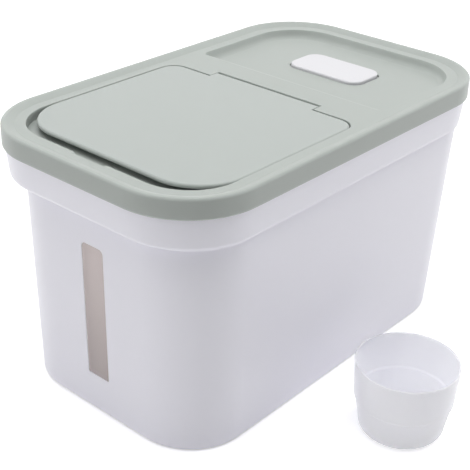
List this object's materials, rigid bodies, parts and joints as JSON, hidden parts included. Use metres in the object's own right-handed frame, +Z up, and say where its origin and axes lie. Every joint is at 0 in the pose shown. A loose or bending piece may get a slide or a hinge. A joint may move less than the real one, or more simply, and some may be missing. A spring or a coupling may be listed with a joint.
{
  "type": "flour dispenser bin",
  "caption": "Lidded kitchen bin for flour: tapered tub with a sight window, lid with a flip-up hatch and a lift-out desiccant cap, and a stepped measuring cup beside it.",
  "frame": {"origin": "centre of the tub's flat underside, below the middle of the lid", "axes": "+Z up, -Y towards the narrow front with the sight window, +X towards the side where the measuring cup stands"},
  "size_m": [0.3364, 0.38, 0.2215],
  "materials": {
    "tub_white": "satin polypropylene, cool white",
    "window_clear": "smoky clear, polished",
    "lid_sage": "satin, pale sage green",
    "hatch_sage": "satin, pale sage green",
    "seal_silicone": "soft translucent white silicone",
    "cap_white": "semi-gloss white",
    "basket_white": "matt white",
    "cup_frosted": "frosted translucent polypropylene"
  },
  "bodies": {
    "bin": {"bin_body": "tub_white", "sight_window": "window_clear"},
    "lid": {"lid_frame": "lid_sage", "lid_seal": "seal_silicone", "desiccant_basket": "basket_white"},
    "hatch": {"hatch": "hatch_sage", "hatch_seal": "seal_silicone"},
    "cap": {"desiccant_cap": "cap_white"},
    "cup": {"measuring_cup": "cup_frosted"}
  },
  "joints": [
    {"name": "lid_lift", "type": "slide", "parent": "bin", "child": "lid", "axis": [0, 0, 1], "range_m": [0, 0.1]},
    {"name": "hatch_hinge", "type": "hinge", "parent": "lid", "child": "hatch", "pos_m": [0, 0.0183, 0.21544], "axis": [-1, 0, 0], "range_deg": [0, 100]},
    {"name": "cap_lift", "type": "slide", "parent": "lid", "child": "cap", "axis": [0, 0, 1], "range_m": [0, 0.05]},
    {"name": "cup_lift", "type": "slide", "parent": "bin", "child": "cup", "axis": [0, 0, 1], "range_m": [0, 0.12]}
  ]
}
